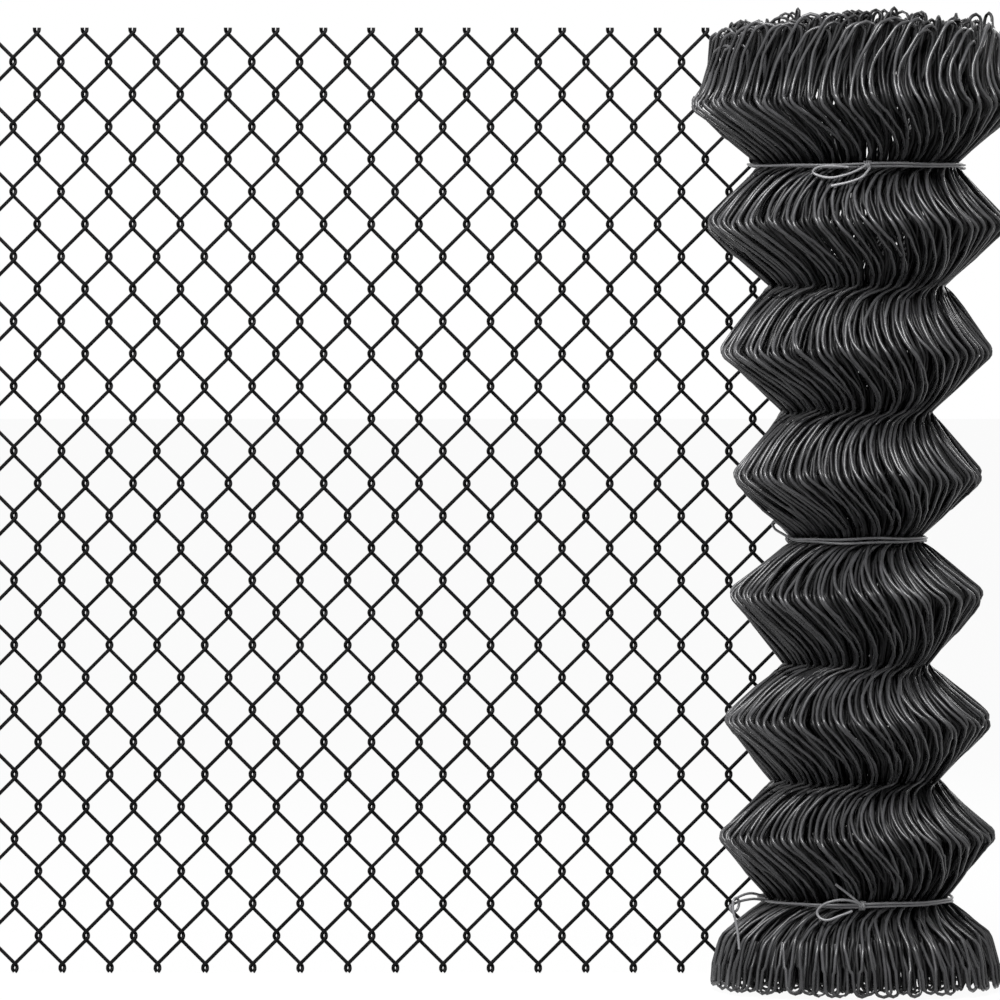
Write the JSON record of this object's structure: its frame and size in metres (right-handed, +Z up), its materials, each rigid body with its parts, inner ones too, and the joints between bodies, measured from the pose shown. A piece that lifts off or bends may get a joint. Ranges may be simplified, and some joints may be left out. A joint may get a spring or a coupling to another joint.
{
  "type": "chain-link fence mesh with its standing roll",
  "caption": "Black coated chain-link fence mesh, one end spread flat and the rest still rolled up and tied, standing on its end.",
  "frame": {"origin": "middle of the footprint on the floor", "axes": "+X along the flat stretch towards the roll, +Y from the roll to the flat stretch behind it, +Z up"},
  "size_m": [1.3306, 0.441, 1.2437],
  "materials": {
    "coated_wire": "satin",
    "tie_wire": "satin"
  },
  "bodies": {
    "root": {"mesh_wire_01": "coated_wire", "mesh_wire_02": "coated_wire", "mesh_wire_03": "coated_wire", "mesh_wire_04": "coated_wire", "mesh_wire_05": "coated_wire", "mesh_wire_06": "coated_wire", "mesh_wire_07": "coated_wire", "mesh_wire_08": "coated_wire", "mesh_wire_09": "coated_wire", "mesh_wire_10": "coated_wire", "mesh_wire_11": "coated_wire", "mesh_wire_12": "coated_wire", "mesh_wire_13": "coated_wire", "mesh_wire_14": "coated_wire", "mesh_wire_15": "coated_wire", "mesh_wire_16": "coated_wire", "mesh_wire_17": "coated_wire", "mesh_wire_18": "coated_wire", "mesh_wire_19": "coated_wire", "mesh_wire_20": "coated_wire", "mesh_wire_21": "coated_wire", "mesh_wire_22": "coated_wire", "mesh_wire_23": "coated_wire", "mesh_wire_24": "coated_wire", "mesh_wire_25": "coated_wire", "mesh_wire_26": "coated_wire", "mesh_wire_27": "coated_wire", "mesh_wire_28": "coated_wire", "mesh_wire_29": "coated_wire", "mesh_wire_30": "coated_wire", "mesh_wire_31": "coated_wire", "mesh_wire_32": "coated_wire", "mesh_wire_33": "coated_wire", "mesh_wire_34": "coated_wire", "roll_wires_right": "coated_wire", "roll_wires_back": "coated_wire", "roll_wires_left": "coated_wire", "roll_wires_front": "coated_wire", "roll_wires_inner_lap": "coated_wire", "tie_wire_bottom": "tie_wire", "tie_wire_middle": "tie_wire", "tie_wire_top": "tie_wire", "lashing_bottom": "tie_wire", "lashing_middle": "tie_wire", "lashing_top": "tie_wire"}
  },
  "joints": []
}
